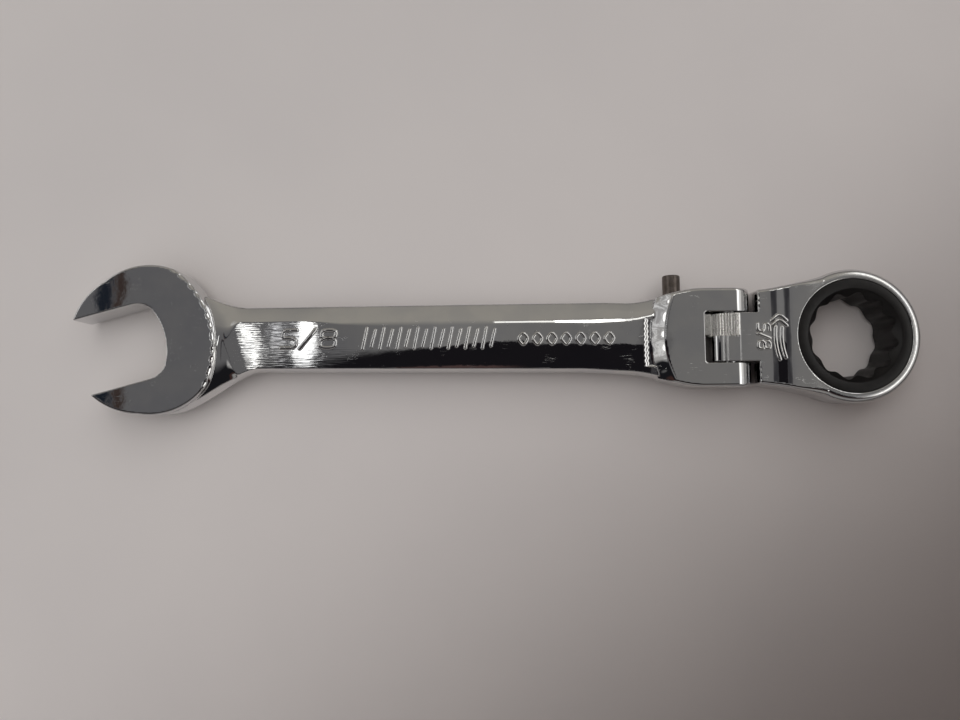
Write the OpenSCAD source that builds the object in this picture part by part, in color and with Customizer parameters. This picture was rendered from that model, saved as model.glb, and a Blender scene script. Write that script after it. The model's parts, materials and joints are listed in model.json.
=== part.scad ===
// Flex-head ratchet wrench for one size of nut, with an open end on the other end of its handle.
// The origin is the centre of the ring socket, halfway through the thickness of the ring. The
// handle runs along -X, the hinge is parallel to Y, and the flat faces are parallel to XY.

/* [Nut] */
// Width across the flats of the nut that both ends fit
nut_flats = 15.875; // [15.8:0.025:15.95]
// Play across the flats, between the nut and each end
nut_play = 0.1; // [0.05:0.05:0.15]

/* [Ring head] */
// Outer radius of the ring
ring_r = 14; // [13.9:0.1:14.5]
// Thickness of the ring
ring_t = 10.4; // [10.2:0.1:11]
// Thickness of the neck and of the fork that holds it
neck_t = 8.8; // [8.6:0.1:9]
// Half the width of the neck where it meets the fork
neck_half = 9.85; // [9.5:0.05:10]
// Number of teeth around the ring gear
gear_teeth = 72; // [72:12:84]
// Radius of the ring gear where it shows beside the ring
gear_r = 11.85; // [11.8:0.05:11.9]
// Depth of the ring gear's teeth
gear_tooth_d = 0.45; // [0.4:0.05:0.5]

/* [Hinge] */
// Distance from the ring's axis to the hinge axis
hinge_x = 24.5; // [24:0.1:26]
// Radius of the hinge pin
pin_r = 1.6; // [1.4:0.1:1.8]
// Half the width of the slot in the fork
slot_half = 5.35; // [5.3:0.05:5.5]
// Distance from the hinge axis to the bottom of the slot
slot_depth = 6.35; // [6.3:0.05:6.6]
// Number of locking notches in a full turn of the hinge
lock_notches = 48; // [48:24:48]
// Depth of a locking notch
notch_d = 0.35; // [0.3:0.05:0.35]

/* [Lock button] */
// Distance from the hinge axis to the axis of the lock button
button_x = 12.05; // [12:0.05:12.2]
// Radius of the lock button
button_r = 1.85; // [1.8:0.05:1.9]
// How far the end of the lock button stands from the middle of the wrench
button_reach = 13.6; // [13.4:0.1:14]
// How far the lock button is pressed
press = 3.4; // [3:0.1:3.4]
// How far the lock plunger draws back
draw = 0.75; // [0.7:0.05:0.8]

/* [Handle] */
// Distance from the ring's axis to the centre of the open end
span = 147.8; // [140:0.1:160]
// Half the width of the fork
fork_half = 10.4; // [10.3:0.05:10.6]
// Half the width of the handle beside the open end
shank_back = 7.05; // [6.8:0.05:7.3]
// Half the width of the handle beside the fork
shank_front = 7.65; // [7.4:0.05:7.8]
// Thickness of the handle
shank_t = 6; // [5.6:0.1:6.4]
// Half the width of the flat along the middle of the handle
flat_half = 4.8; // [4.4:0.1:5]

/* [Open end] */
// Thickness of the open end
jaw_t = 7.7; // [7.4:0.1:8]
// Angle between the open end and the handle
jaw_angle = 15; // [12:1:18]
// Radius of the outline at the tips of the jaws
jaw_r = 15; // [14.8:0.1:15.2]
// Distance from the centre of the open end to the tips of the jaws
jaw_reach = 13; // [12.5:0.1:13.5]

/* [Hidden] */
$fn = 96;
// Clearance of a running fit, on the radius, and the interference of a press fit
run = 0.05;
press_fit = 0.02;
// Overlap that keeps a cut clear of the face it leaves by
over = 1;
ring_top = ring_t / 2;
neck_top = neck_t / 2;
jaw_top = jaw_t / 2;
shank_top = shank_t / 2;
gap_half = (nut_flats + nut_play) / 2;

// Ring: a rounded rim, a lip over the gear at the top, and a groove for the retaining ring
rim = 1.1;
lip_z = 3.2;
tip_r = gear_r + gear_tooth_d + 0.1;
root_r = tip_r - gear_tooth_d;
collar_r = tip_r + 0.05;
chamber_r = collar_r + run;
gear_top = ring_top - 0.1;
belt_low = -2.9;
belt_high = lip_z - 0.1;
clip_z = -4.1;
clip_wire = 0.35;
clip_gap = 30;
groove_half = 0.4;
groove_d = 0.4;
// Share of a ratchet tooth's pitch that its steep side takes
steep = 0.2;
lead_in = 1.1;
// Twelve rounded corners, between the corner and the side of a double hexagon
corner_r = gap_half / cos(30);
valley_r = gap_half / cos(15);
corner_turn = 20;

// Neck: a ramp between the ring and the fork's thickness, and a tongue between the ears
shoulder_x = hinge_x - 4.8;
ramp_low = 17.2;
ramp_high = 13.9;
flare = 0.11;
flare_rise = 0.0066;
tongue_half = slot_half - 0.25;
notch_side = 0.3;
notch_r = neck_top + 0.2;
tooth_zone = 0.9;
ear_r = 4.15;
// How far round the ears' ends stay at their full radius, to each side
ear_turn = 60;

// Pawl and its spring, in a pocket that opens into the ring
pawl_back = 16.2;
pawl_half = 3.2;
pawl_top = 2.6;
pawl_travel = 0.55;
mesh_gap = 0.04;
pawl_spring_r = 1.1;
pawl_spring_end = 19.9;
pawl_seat = 0.85;

// Lock plunger: a toothed block with a tail that rests on the button's cone
plunger_y = (notch_side + tongue_half) / 2;
plunger_half = 2.25;
plunger_top = 3.2;
plunger_face = notch_r + run;
nose_half = notch_r * sin(1.5 * 360 / lock_notches);
plunger_back = slot_depth + 1.85;
tail_r = 1.2;
tail_tip = 0.35;
tail_tip_len = 1.2;
cone_high = 1.6;
cone_low = cone_high - draw;
tail_end = button_x - cone_high - run;

// Lock button, from its dome to its spring
cone_from = plunger_y - tail_tip;
knob_from = plunger_y + press + tail_r + 0.2;
collar_from = plunger_y - tail_r - 0.05;
collar_t = 1.25;
spigot_r = 0.9;
spigot_len = 1.2;
button_bore_end = -6.8;
dome = 0.7;

// Handle, fork and open end
flare_from = 47;
flare_to = 31;
root_from = 127;
root_to = 137;
root_rise = 0.033;
fork_back_r = 22;
fork_back_x = 17.2;
fork_slope = 2.7;
side_low = 0.9;
side_mid = 2.2;
back_r = 19.9;
back_u = 5;
side_r = 13.95;
side_u = -1.75;
side_v = 1.77;
throat_r = 13.8;
throat_u = 8.8;

// Points of an outline that is given as a radius for each angle
function polar(r, a) = [r * cos(a), r * sin(a)];

// Points of one ratchet tooth after another, all the way round
function ratchet_outline(gap) = [
    for (i = [0 : gear_teeth - 1], side = [0, steep])
        polar((side == 0 ? root_r : tip_r) + gap, (i + side) * 360 / gear_teeth)
];

// Points of one locking notch after another, with a notch on the -X side
function notch_outline(gap) = [
    for (i = [0 : 2 * lock_notches - 1])
        polar(notch_r - (i % 2 == 0 ? notch_d : 0) + gap, i * 180 / lock_notches)
];

// Half the width of the handle at a distance x from the ring's axis
function shank_half(x) =
    x < flare_from
    ? shank_front + (fork_half - shank_front)
        * (1 - cos(180 * (flare_from - x) / (flare_from - flare_to))) / 2
    : shank_front + (shank_back - shank_front) * (x - flare_from) / (root_from - flare_from)
        + root_rise * pow(max(0, x - root_from), 2);

// Half the width of the neck at a distance x from the ring's axis
function neck_half_at(x) = neck_half + flare * (shoulder_x - x) + flare_rise * pow(shoulder_x - x, 2);

// A closed outline with the same points on both sides of the X axis
module mirrored(points) {
    polygon([for (p = points) p, for (i = [len(points) - 1 : -1 : 0]) [points[i][0], -points[i][1]]]);
}

// A coil spring along +Z, as a wire swept along a helix
module coil(mean_r, wire_r, length, turns) {
    sides = 6;
    steps = 12 * turns;
    rise = length - 2 * wire_r;
    points = [
        for (i = [0 : steps], k = [0 : sides - 1])
            let (turn = 360 * i * turns / steps, r = mean_r + wire_r * cos(360 * k / sides))
                [r * cos(turn), r * sin(turn), wire_r + rise * i / steps + wire_r * sin(360 * k / sides)]
    ];
    walls = [
        for (i = [0 : steps - 1], k = [0 : sides - 1])
            let (a = i * sides, b = a + sides, n = (k + 1) % sides) [a + k, b + k, b + n, a + n]
    ];
    caps = [[for (k = [0 : sides - 1]) k], [for (k = [sides - 1 : -1 : 0]) steps * sides + k]];
    polyhedron(points, concat(walls, caps), convexity = 10);
}

// Outline of the open end, with its jaws along +X
module open_end_outline() {
    intersection() {
        union() {
            circle(jaw_r);
            for (side = [-1, 1])
                translate([side_u, side * side_v])
                    circle(side_r);
        }
        translate([jaw_reach - 2 * jaw_r, -2 * jaw_r])
            square([2 * jaw_r, 4 * jaw_r]);
    }
}

// The space between the jaws, with a curved throat
module jaw_gap() {
    translate([0, 0, -jaw_t])
        linear_extrude(2 * jaw_t)
            intersection() {
                translate([-jaw_r, -gap_half])
                    square([3 * jaw_r, 2 * gap_half]);
                union() {
                    translate([throat_u, 0])
                        circle(throat_r);
                    translate([throat_u, -jaw_r])
                        square(2 * jaw_r);
                }
            }
}

module open_end() {
    intersection() {
        translate([0, 0, -jaw_top])
            linear_extrude(jaw_t)
                open_end_outline();
        translate([back_u, 0, 0])
            sloped_disc(back_r, jaw_top, jaw_top - shank_top);
    }
}

// A disc whose upper and lower edges slope outwards to the thickness of the handle
module sloped_disc(r, top, slope) {
    for (side = [0, 1])
        mirror([0, 0, side]) {
            translate([0, 0, shank_top])
                cylinder(h = top - shank_top, r1 = r + slope, r2 = r);
            translate([0, 0, -over / 2])
                cylinder(h = shank_top + over / 2, r = r + slope);
        }
}

// The handle between its two ends: a flat along the middle and sloped sides
module shank() {
    plan = concat(
        [for (x = [root_to : -1.25 : root_from]) [-x, shank_half(x)]],
        [for (x = [flare_from : -2 : flare_to]) [-x, shank_half(x)]]
    );
    intersection() {
        translate([0, 0, -shank_top])
            linear_extrude(shank_t)
                mirrored(plan);
        translate([-root_to, 0, 0])
            rotate([90, 0, 90])
                linear_extrude(root_to - flare_to)
                    polygon([
                        [flat_half, shank_top], [-flat_half, shank_top],
                        [-shank_front, side_mid], [-fork_half, side_low],
                        [-fork_half, -side_low], [-shank_front, -side_mid],
                        [-flat_half, -shank_top], [flat_half, -shank_top],
                        [shank_front, -side_mid], [fork_half, -side_low],
                        [fork_half, side_low], [shank_front, side_mid]
                    ]);
    }
}

// The fork, with ears that are rounded about the hinge axis
module fork() {
    corner = 0.6;
    plan = concat(
        [for (x = [flare_from : -2 : flare_to]) [-x, shank_half(x)]],
        [[-hinge_x, fork_half], [-hinge_x + ear_r - corner, fork_half - corner / 2],
         [-hinge_x + ear_r, fork_half - 2 * corner]]
    );
    intersection() {
        translate([0, 0, -neck_top])
            linear_extrude(neck_t)
                mirrored(plan);
        translate([-fork_back_x, 0, 0])
            sloped_disc(fork_back_r, neck_top, fork_slope);
        union() {
            translate([-flare_from, -fork_half, -neck_top])
                cube([flare_from - hinge_x, 2 * fork_half, neck_t]);
            translate([-hinge_x, 0, 0])
                rotate([90, 0, 0])
                    ear_end();
        }
    }
}

// The round end of the ears, seen along the hinge
module ear_end() {
    cylinder(h = 2 * fork_half, r = ear_r, center = true);
    translate([0, 0, -fork_half])
        linear_extrude(2 * fork_half)
            polygon([[-over, -neck_top], [0, -neck_top], polar(ear_r, -ear_turn), polar(ear_r, ear_turn),
                     [0, neck_top], [-over, neck_top]]);
}

// The spaces in the fork: the slot, the hinge hole, and the lock's bores
module fork_cuts() {
    translate([-hinge_x - slot_depth, -slot_half, -neck_t])
        cube([slot_depth + 2 * ear_r, 2 * slot_half, 2 * neck_t]);
    translate([-hinge_x, 0, 0])
        rotate([90, 0, 0])
            cylinder(h = 3 * fork_half, r = pin_r - press_fit, center = true);
    translate([-hinge_x - button_x, button_bore_end, 0])
        rotate([-90, 0, 0])
            cylinder(h = button_reach - button_bore_end, r = button_r + run);
    translate([-hinge_x - plunger_back - draw - 3 * run, plunger_y - plunger_half - run, -plunger_top - run])
        cube([plunger_back + draw + over - slot_depth, 2 * (plunger_half + run), 2 * (plunger_top + run)]);
    translate([-hinge_x - button_x, plunger_y, 0])
        rotate([0, 90, 0])
            cylinder(h = button_x - plunger_back, r = tail_r + run);
}

module handle() {
    color("silver")
        difference() {
            union() {
                shank();
                fork();
                translate([-span, 0, 0])
                    rotate([0, 0, 180 + jaw_angle])
                        open_end();
            }
            translate([-span, 0, 0])
                rotate([0, 0, 180 + jaw_angle])
                    jaw_gap();
            fork_cuts();
        }
}

module hinge_pin() {
    below = 0.4;
    edge = 0.25;
    half = fork_half - below;
    color("gray")
        translate([-hinge_x, 0, 0])
            rotate([90, 0, 0])
                rotate_extrude()
                    polygon([[0, -half], [pin_r - edge, -half], [pin_r, -half + edge],
                             [pin_r, half - edge], [pin_r - edge, half], [0, half]]);
}

// The ring as a solid of revolution, with its lip, its chamber and the retaining ring's groove
module ring_wall() {
    out = ring_r - rim;
    mid = ring_r - rim / 3;
    rotate_extrude()
        polygon([
            [gear_r + run, ring_top], [gear_r + run, lip_z], [chamber_r, lip_z],
            [chamber_r, clip_z + groove_half], [chamber_r + groove_d, clip_z + groove_half],
            [chamber_r + groove_d, clip_z - groove_half], [chamber_r, clip_z - groove_half],
            [chamber_r, -ring_top],
            [out, -ring_top], [mid, -ring_top + rim / 3], [ring_r, -ring_top + rim],
            [ring_r, ring_top - rim], [mid, ring_top - rim / 3], [out, ring_top]
        ]);
}

// The neck between the ring and the fork, which gets thicker towards the ring
module neck() {
    join_turn = 62;
    ring_join = ring_r * cos(join_turn);
    plan = [for (x = [shoulder_x : -1.5 : ring_join]) [-x, neck_half_at(x)]];
    difference() {
        intersection() {
            translate([0, 0, -ring_top])
                linear_extrude(ring_t)
                    mirrored(plan);
            translate([0, ring_r, 0])
                rotate([90, 0, 0])
                    linear_extrude(2 * ring_r)
                        polygon([
                            [-shoulder_x, -neck_top], [-ramp_low, -neck_top], [-ramp_high, -ring_top],
                            [0, -ring_top], [0, ring_top],
                            [-ramp_high, ring_top], [-ramp_low, neck_top], [-shoulder_x, neck_top]
                        ]);
        }
        cylinder(h = 2 * ring_t, r = ring_r - rim, center = true);
    }
}

// The tongue between the ears: smooth on one side, and notched for the lock on the other
module tongue() {
    translate([-hinge_x, tongue_half, 0])
        rotate([90, 0, 0])
            linear_extrude(tongue_half - notch_side)
                union() {
                    polygon(notch_outline(0));
                    translate([tooth_zone, -neck_top])
                        square([hinge_x - shoulder_x + over - tooth_zone, neck_t]);
                }
    translate([-hinge_x, notch_side, 0])
        rotate([90, 0, 0])
            linear_extrude(tongue_half + notch_side)
                union() {
                    circle(neck_top);
                    translate([0, -neck_top])
                        square([hinge_x - shoulder_x + over, neck_t]);
                }
}

module ratchet_head() {
    color("silver")
        difference() {
            union() {
                ring_wall();
                neck();
                tongue();
            }
            translate([-hinge_x, 0, 0])
                rotate([90, 0, 0])
                    cylinder(h = 3 * fork_half, r = pin_r + run, center = true);
            translate([-pawl_back - pawl_travel - 3 * run, -pawl_half - run, -pawl_top - run])
                cube([pawl_back - root_r + 3 * over, 2 * (pawl_half + run), 2 * (pawl_top + run)]);
            translate([-pawl_spring_end, 0, 0])
                rotate([0, 90, 0])
                    cylinder(h = pawl_spring_end - pawl_back, r = pawl_spring_r);
        }
}

// Twelve rounded corners around the nut
module socket_outline() {
    steps = 8;
    middle = (corner_r + valley_r) / 2;
    wave = (corner_r - valley_r) / 2;
    polygon([
        for (i = [0 : 12 * steps - 1])
            let (a = 360 * i / (12 * steps)) polar(middle + wave * cos(12 * a), a + corner_turn)
    ]);
}

module ring_gear() {
    core = 1;
    lead_play = 0.5;
    color("dimgray")
        difference() {
            union() {
                rotate_extrude()
                    polygon([
                        [core, gear_top], [gear_r, gear_top], [gear_r, belt_low],
                        [collar_r, belt_low], [collar_r, clip_z + groove_half],
                        [collar_r - groove_d, clip_z + groove_half],
                        [collar_r - groove_d, clip_z - groove_half],
                        [collar_r, clip_z - groove_half], [collar_r, -gear_top], [core, -gear_top]
                    ]);
                translate([0, 0, belt_low])
                    linear_extrude(belt_high - belt_low)
                        difference() {
                            polygon(ratchet_outline(0));
                            circle(gear_r - over);
                        }
            }
            translate([0, 0, -ring_t])
                linear_extrude(2 * ring_t)
                    socket_outline();
            for (side = [0, 1])
                mirror([0, 0, side])
                    translate([0, 0, gear_top - lead_in])
                        cylinder(h = 2 * lead_in, r1 = valley_r + lead_play,
                                 r2 = valley_r + lead_play + 2 * lead_in);
        }
}

module gear_retaining_ring() {
    color("silver")
        translate([0, 0, clip_z])
            rotate([0, 0, clip_gap / 2])
                rotate_extrude(angle = 360 - clip_gap)
                    translate([chamber_r, 0])
                        circle(clip_wire, $fn = 24);
}

module pawl() {
    color("gray")
        difference() {
            translate([0, 0, -pawl_top])
                linear_extrude(2 * pawl_top)
                    difference() {
                        translate([-pawl_back, -pawl_half])
                            square([pawl_back - root_r + over, 2 * pawl_half]);
                        polygon(ratchet_outline(mesh_gap));
                    }
            translate([-pawl_back - over, 0, 0])
                rotate([0, 90, 0])
                    cylinder(h = pawl_seat + over, r = pawl_spring_r);
        }
}

module pawl_spring() {
    side_gap = 0.15;
    wire_r = 0.17;
    turns = 6;
    color("silver")
        translate([-pawl_spring_end, 0, 0])
            rotate([0, 90, 0])
                coil(pawl_spring_r - side_gap - wire_r, wire_r,
                     pawl_spring_end - pawl_back + pawl_seat, turns);
}

module lock_button() {
    shrink = 0.02;
    color("saddlebrown")
        translate([-hinge_x - button_x, 0, 0])
            rotate([-90, 0, 0])
                rotate_extrude()
                    polygon(concat(
                        [[0, collar_from - collar_t - spigot_len],
                         [spigot_r, collar_from - collar_t - spigot_len],
                         [spigot_r, collar_from - collar_t], [button_r - shrink, collar_from - collar_t],
                         [button_r - shrink, collar_from], [cone_high, collar_from],
                         [cone_high, cone_from], [cone_low, cone_from + press], [cone_low, knob_from],
                         [button_r, knob_from + button_r - cone_low]],
                        [for (a = [0 : 15 : 90])
                            [button_r - dome + dome * cos(a), button_reach - dome + dome * sin(a)]],
                        [[0, button_reach]]
                    ));
}

module lock_button_spring() {
    side_gap = 0.2;
    wire_r = 0.22;
    turns = 7;
    color("silver")
        translate([-hinge_x - button_x, button_bore_end, 0])
            rotate([-90, 0, 0])
                coil(button_r - side_gap - wire_r, wire_r,
                     collar_from - collar_t - button_bore_end, turns);
}

module lock_plunger() {
    color("gray") {
        translate([-hinge_x, plunger_y + plunger_half, 0])
            rotate([90, 0, 0])
                linear_extrude(2 * plunger_half)
                    difference() {
                        union() {
                            translate([-plunger_back, -plunger_top])
                                square([plunger_back - plunger_face, 2 * plunger_top]);
                            translate([-plunger_back, -nose_half])
                                square([plunger_back - notch_r + 2 * notch_d, 2 * nose_half]);
                        }
                        polygon(notch_outline(mesh_gap));
                    }
        translate([-hinge_x - tail_end, plunger_y, 0])
            rotate([0, 90, 0])
                rotate_extrude()
                    polygon([[0, 0], [tail_tip, 0], [tail_r, tail_tip_len],
                             [tail_r, tail_end - plunger_back + run], [0, tail_end - plunger_back + run]]);
    }
}

handle();
hinge_pin();
ratchet_head();
ring_gear();
gear_retaining_ring();
pawl();
pawl_spring();
lock_button();
lock_button_spring();
lock_plunger();
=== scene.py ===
"""Looks of a flex-head ratchet wrench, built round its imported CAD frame.

The forged handle and the head are meshed from distance fields, so that their edges, blends and
notches are geometry. Lengths are in millimetres until a mesh is made. A field is negative inside.
"""
import json
import math

import bpy
import numpy as np
from mathutils import Euler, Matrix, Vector


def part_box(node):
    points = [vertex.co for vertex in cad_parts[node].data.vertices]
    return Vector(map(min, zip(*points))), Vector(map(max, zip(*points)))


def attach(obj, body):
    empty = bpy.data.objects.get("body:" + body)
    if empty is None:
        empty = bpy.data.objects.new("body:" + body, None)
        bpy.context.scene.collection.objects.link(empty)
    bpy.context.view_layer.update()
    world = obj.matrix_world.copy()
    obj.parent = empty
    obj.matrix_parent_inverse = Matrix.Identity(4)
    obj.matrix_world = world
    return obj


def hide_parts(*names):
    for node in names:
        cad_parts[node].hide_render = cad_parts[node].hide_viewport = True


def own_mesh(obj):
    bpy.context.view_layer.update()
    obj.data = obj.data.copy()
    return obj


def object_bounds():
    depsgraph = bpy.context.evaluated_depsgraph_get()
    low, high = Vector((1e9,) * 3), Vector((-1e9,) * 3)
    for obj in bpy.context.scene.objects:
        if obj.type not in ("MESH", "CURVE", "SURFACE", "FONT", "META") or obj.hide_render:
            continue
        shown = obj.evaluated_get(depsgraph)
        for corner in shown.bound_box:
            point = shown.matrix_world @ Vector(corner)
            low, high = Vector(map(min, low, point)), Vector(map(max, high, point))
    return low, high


MM = 0.001

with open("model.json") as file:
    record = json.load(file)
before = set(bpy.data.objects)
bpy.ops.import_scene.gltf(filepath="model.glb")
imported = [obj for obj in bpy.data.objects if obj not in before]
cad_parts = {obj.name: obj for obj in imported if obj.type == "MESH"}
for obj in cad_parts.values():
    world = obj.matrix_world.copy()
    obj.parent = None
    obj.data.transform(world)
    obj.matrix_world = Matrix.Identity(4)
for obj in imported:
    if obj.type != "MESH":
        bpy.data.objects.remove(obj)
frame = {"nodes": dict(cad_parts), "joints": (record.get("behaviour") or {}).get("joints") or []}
cad_low, cad_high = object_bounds()


def box_mm(node):
    """Lowest and highest corner of a CAD node, in millimetres."""
    low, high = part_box(node)
    return np.array(low) / MM, np.array(high) / MM


HINGE = [j for j in frame["joints"] if j["name"] == "head_tilt"][0]["pos_m"][0] / MM
head_box, gear_box, pin_box = box_mm("ratchet_head"), box_mm("ring_gear"), box_mm("hinge_pin")
button_box, handle_box, plunger_box = box_mm("lock_button"), box_mm("handle"), box_mm("lock_plunger")

# Sizes in millimetres. The CAD source has most of them as well
RING_R = head_box[1][0]
RING_TOP = head_box[1][2]
NECK_TOP = handle_box[1][2]
GEAR_TOP = gear_box[1][2]
FORK_HALF = 10.4
SPAN = 147.8
JAW_ANGLE = math.radians(15)
JAW_TOP = 3.85
JAW_R, JAW_REACH = 15.0, 13.0
JAW_SIDE_R, JAW_SIDE_U, JAW_SIDE_V = 13.95, -1.75, 1.77
NUT_FLATS, NUT_PLAY = 15.875, 0.1
JAW_GAP = (NUT_FLATS + NUT_PLAY) / 2
THROAT_R, THROAT_U = 13.8, 8.8
ARC_R, ARC_U = 19.9, 5.0
SHANK_TOP, SHANK_FROM, SHANK_TO = 3.0, -144.0, -24.0
SHANK_FRONT, SHANK_BACK = 7.65, 7.05
FLARE_FROM, FLARE_TO, ROOT_FROM = 47.0, 31.0, 127.0
PANEL_END, PANEL_Y, PANEL_HALF, PANEL_STEP_Z = -42.5, -0.85, 5.1, 2.7
FORK_BACK_X, FORK_BACK_R, FORK_SLOPE = -17.2, 22.0, 2.7
SLOT_HALF, SLOT_BASE = 5.35, HINGE - 6.35
EAR_R = 4.15
BUTTON_X = (button_box[0][0] + button_box[1][0]) / 2
PIN_R, PIN_HOLE_R, PIN_TURN_R = 1.6, 1.6, 1.65
BUTTON_BORE_R, BUTTON_BORE_END = 1.93, -6.8
POCKET_HALF, POCKET_TOP, POCKET_FROM, POCKET_TO = 2.32, 3.27, -33.65, -30.0
TAIL_BORE_R, TAIL_BORE_TO = 1.27, -32.6
SHOULDER = -19.7
NECK_HALF, FLARE, FLARE_RISE = 9.85, 0.11, 0.0066
GEAR_R, COLLAR_R, CHAMBER_R, GEAR_BORE_R = 11.85, 12.45, 12.5, 11.9
CLIP_Z, CLIP_HALF, CLIP_GROOVE_R = -4.1, 0.4, 12.9
LIP_Z = 3.2
BELT_LOW, BELT_HIGH = -2.9, LIP_Z - 0.1
TONGUE_HALF, TONGUE_REACH, TONGUE_SPLIT, TONGUE_ROOT = 5.1, 4.6, 0.3, -16.0
NOTCH_END = HINGE + 0.9
PAWL_HALF, PAWL_TOP, PAWL_FROM, PAWL_TO = 3.25, 2.65, -16.95, -8.0
PAWL_SPRING_R, PAWL_SPRING_END, PAWL_SPRING_TO, PAWL_TRAVEL = 1.1, -19.9, -16.0, 0.55
NOTCHES, NOTCH_R, NOTCH_D, NOSE_CLEAR = 48, NECK_TOP + 0.2, 0.35, 0.07
PLUNGER_Y = (plunger_box[0][1] + plunger_box[1][1]) / 2
PRESS = 3.4


# ---------------------------------------------------------------- distance fields

def cut(a, b, r):
    """What is in both a and b, with the edge between them rounded to radius r."""
    return np.minimum(-r, np.maximum(a, b)) + np.hypot(np.maximum(a + r, 0), np.maximum(b + r, 0))


def join(a, b, r):
    """What is in a or b, with a fillet of radius r between them."""
    return -cut(-a, -b, r)


def smooth(t):
    """A rise from 0 to 1 with soft ends."""
    t = np.clip(t, 0, 1)
    return t * t * (3 - 2 * t)


def grid_line(*spans):
    """Grid positions through spans of (start, end, step)."""
    parts = [np.arange(a, b - s * 0.25, s) for a, b, s in spans]
    return np.concatenate(parts + [[spans[-1][1]]])


def surface_net(field, xs, ys, zs, steps=5):
    """Points, outward normals and four-sided faces of the surface where field is 0.

    A point starts in the middle of its cell's crossings, and then moves onto the surface in steps.
    """
    f = np.empty((len(xs), len(ys), len(zs)), np.float32)
    for i in range(0, len(xs), 32):
        f[i:i + 32] = field(xs[i:i + 32, None, None], ys[None, :, None], zs[None, None, :])
    inside = f < 0
    corners = [(a, b, c) for a in (0, 1) for b in (0, 1) for c in (0, 1)]
    nx, ny, nz = (n - 1 for n in f.shape)
    count = np.zeros((nx, ny, nz), np.uint8)
    for a, b, c in corners:
        count += inside[a:a + nx, b:b + ny, c:c + nz]
    cells = np.argwhere((count > 0) & (count < 8))
    index = np.full((nx, ny, nz), -1, np.int32)
    index[tuple(cells.T)] = np.arange(len(cells))
    lines = (xs, ys, zs)
    total, hits = np.zeros((len(cells), 3)), np.zeros(len(cells))
    for p in corners:
        for axis in range(3):
            if p[axis]:
                continue
            at = cells + p
            to = at.copy()
            to[:, axis] += 1
            fa, fb = f[tuple(at.T)], f[tuple(to.T)]
            crossed = (fa < 0) != (fb < 0)
            t = np.where(crossed, fa / np.where(crossed, fa - fb, 1), 0)
            pos = np.stack([lines[k][at[:, k]] for k in range(3)], 1).astype(float)
            pos[:, axis] += t * (lines[axis][to[:, axis]] - lines[axis][at[:, axis]])
            total += pos * crossed[:, None]
            hits += crossed
    points = total / hits[:, None]
    faces = []
    for axis in range(3):
        b, c = (axis + 1) % 3, (axis + 2) % 3
        low, high = [slice(None)] * 3, [slice(None)] * 3
        low[axis], high[axis] = slice(0, -1), slice(1, None)
        edges = np.argwhere(inside[tuple(low)] != inside[tuple(high)])
        before_end = (edges[:, b] < f.shape[b] - 1) & (edges[:, c] < f.shape[c] - 1)
        edges = edges[(edges[:, b] > 0) & (edges[:, c] > 0) & before_end]
        quad = []
        for db, dc in ((-1, -1), (0, -1), (0, 0), (-1, 0)):
            cell = edges.copy()
            cell[:, b] += db
            cell[:, c] += dc
            quad.append(index[tuple(cell.T)])
        quad = np.stack(quad, 1)
        flip = ~inside[tuple(edges.T)]
        quad[flip] = quad[flip][:, ::-1]
        faces.append(quad)
    faces = np.concatenate(faces)
    reach = 0.6 * min(np.diff(xs).min(), np.diff(ys).min(), np.diff(zs).min())

    def gradient(p, h):
        g = np.empty_like(p)
        for k in range(3):
            d = np.zeros(3)
            d[k] = h
            g[:, k] = (field(*(p + d).T) - field(*(p - d).T)) / (2 * h)
        return g

    for _ in range(steps):
        value = field(*points.T)
        g = gradient(points, 0.01)
        size = np.maximum((g * g).sum(1), 0.05)
        move = np.clip(value / size, -reach, reach)
        points = points - g * move[:, None]
    normals = gradient(points, 0.02)
    normals /= np.maximum(np.linalg.norm(normals, axis=1), 1e-9)[:, None]
    return points, normals, faces


# ---------------------------------------------------------------- meshes

def add_object(name, data):
    made = bpy.data.objects.new(name, data)
    bpy.context.scene.collection.objects.link(made)
    return made


def make_piece(name, points, faces, material, body, nodes=(), normals=None, sharp=None):
    """A mesh piece that rides on a body. Faces are an array, or a list of lists, of point numbers."""
    mesh = bpy.data.meshes.new(name)
    if isinstance(faces, np.ndarray):
        mesh.vertices.add(len(points))
        mesh.vertices.foreach_set("co", (np.asarray(points) * MM).astype(np.float32).ravel())
        mesh.loops.add(faces.size)
        mesh.loops.foreach_set("vertex_index", faces.astype(np.int32).ravel())
        mesh.polygons.add(len(faces))
        mesh.polygons.foreach_set("loop_start", np.arange(0, faces.size, faces.shape[1], dtype=np.int32))
        mesh.update(calc_edges=True)
    else:
        mesh.from_pydata([[c * MM for c in p] for p in points], [], faces)
    mesh.validate()
    mesh.shade_smooth()
    if sharp is not None:
        mesh.set_sharp_from_angle(angle=math.radians(sharp))
    if normals is not None:
        mesh.normals_split_custom_set_from_vertices([tuple(n) for n in normals])
    piece = add_object(name, mesh)
    mesh.materials.append(material)
    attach(piece, body)
    if nodes:
        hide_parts(*nodes)
    return piece


def row_faces(rows, n, loop_rows, loop_points):
    """Faces between rows of n points each. A loop joins the last one to the first."""
    faces = []
    for i in range(rows if loop_rows else rows - 1):
        j = (i + 1) % rows
        for k in range(n if loop_points else n - 1):
            m = (k + 1) % n
            faces.append([i * n + k, j * n + k, j * n + m, i * n + m])
    return faces


def end_faces(rows, n):
    """The two faces that close a tube of rows of n points."""
    return [list(range(n)), [(rows - 1) * n + k for k in range(n)][::-1]]


def lathe(profile, place, sides=96):
    """Points and faces of a profile of (radius, height) turned about an axis. Place maps (a, b, height)."""
    points = []
    for i in range(sides):
        a = 2 * math.pi * i / sides
        points += [place(r * math.cos(a), r * math.sin(a), h) for r, h in profile]
    faces = row_faces(sides, len(profile), True, False)
    return points, faces


# ---------------------------------------------------------------- materials

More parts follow.
